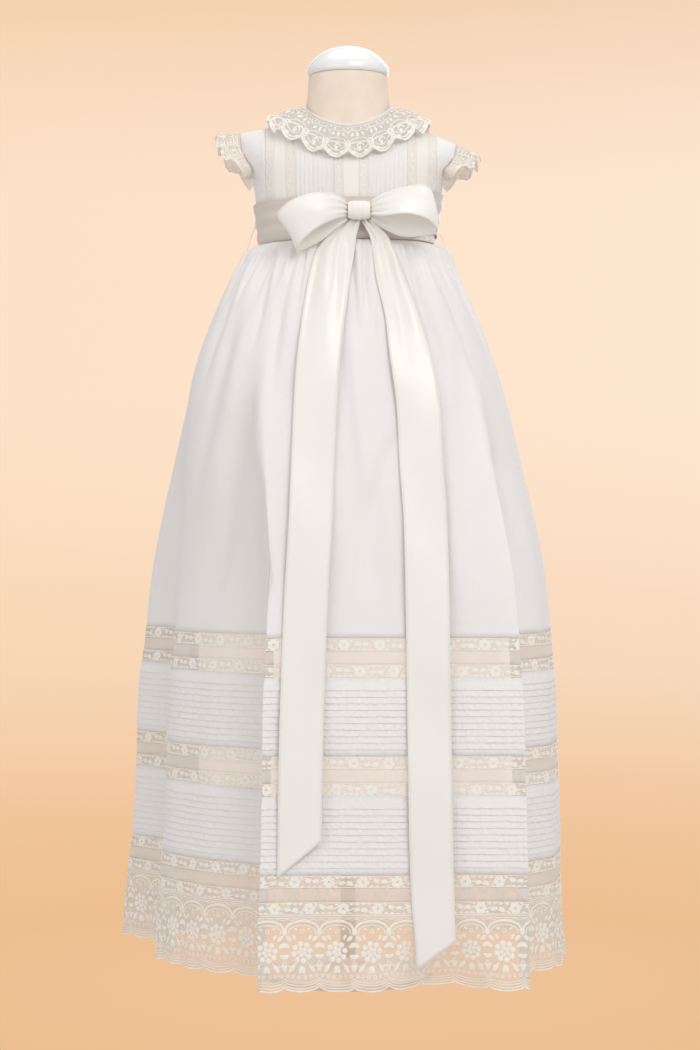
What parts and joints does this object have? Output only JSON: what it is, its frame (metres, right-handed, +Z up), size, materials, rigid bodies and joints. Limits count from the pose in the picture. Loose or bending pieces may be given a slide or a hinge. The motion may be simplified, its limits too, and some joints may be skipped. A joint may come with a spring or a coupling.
{
  "type": "christening gown on a child's dress form",
  "caption": "Long white christening gown with lace collar, ruffled cap sleeves, tucked skirt bands and a satin sash, on a limbless dress form.",
  "frame": {"origin": "middle of the round base's underside, on the surface that the form stands on", "axes": "+Z up, the gown's front faces -Y, +X is the viewer's right of the front"},
  "size_m": [0.4587, 0.3542, 0.9275],
  "materials": {
    "batiste": "matt white cotton batiste",
    "tulle": "matt sheer cotton tulle",
    "lace": "matt ecru cotton lace",
    "satin": "glossy cream polyester satin",
    "linen": "matt natural linen cover",
    "lacquer": "gloss white lacquer",
    "pearl": "gloss white pearl"
  },
  "bodies": {
    "root": {"slip": "batiste", "skirt_panel": "batiste", "upper_tucks": "batiste", "lower_tucks": "batiste", "bodice_tucks_left": "batiste", "bodice_tucks_right": "batiste", "bodice_side_left": "batiste", "bodice_side_right": "batiste", "bodice_back_left": "batiste", "bodice_back_right": "batiste", "neck_binding": "batiste", "upper_band_tulle": "tulle", "middle_band_tulle": "tulle", "lower_band_tulle": "tulle", "bodice_centre_tulle": "tulle", "bodice_tulle_left": "tulle", "bodice_tulle_right": "tulle", "upper_band_insertion_upper": "lace", "upper_band_insertion_lower": "lace", "middle_band_insertion_upper": "lace", "middle_band_insertion_lower": "lace", "lower_band_insertion_upper": "lace", "lower_band_insertion_lower": "lace", "hem_lace": "lace", "lace_collar": "lace", "sleeve_ruffle_left": "lace", "sleeve_ruffle_right": "lace", "bodice_centre_insertion_left": "lace", "bodice_centre_insertion_right": "lace", "bodice_inner_insertion_left": "lace", "bodice_inner_insertion_right": "lace", "bodice_outer_insertion_left": "lace", "bodice_outer_insertion_right": "lace", "sash": "satin", "ribbon_tail_left": "satin", "ribbon_tail_right": "satin", "bow_loop_left": "satin", "bow_loop_right": "satin", "bow_knot": "satin", "form_body": "linen", "form_cap": "lacquer", "form_socket": "lacquer", "form_pole": "lacquer", "form_base": "lacquer", "button_1": "pearl", "button_2": "pearl", "button_3": "pearl"}
  },
  "joints": []
}
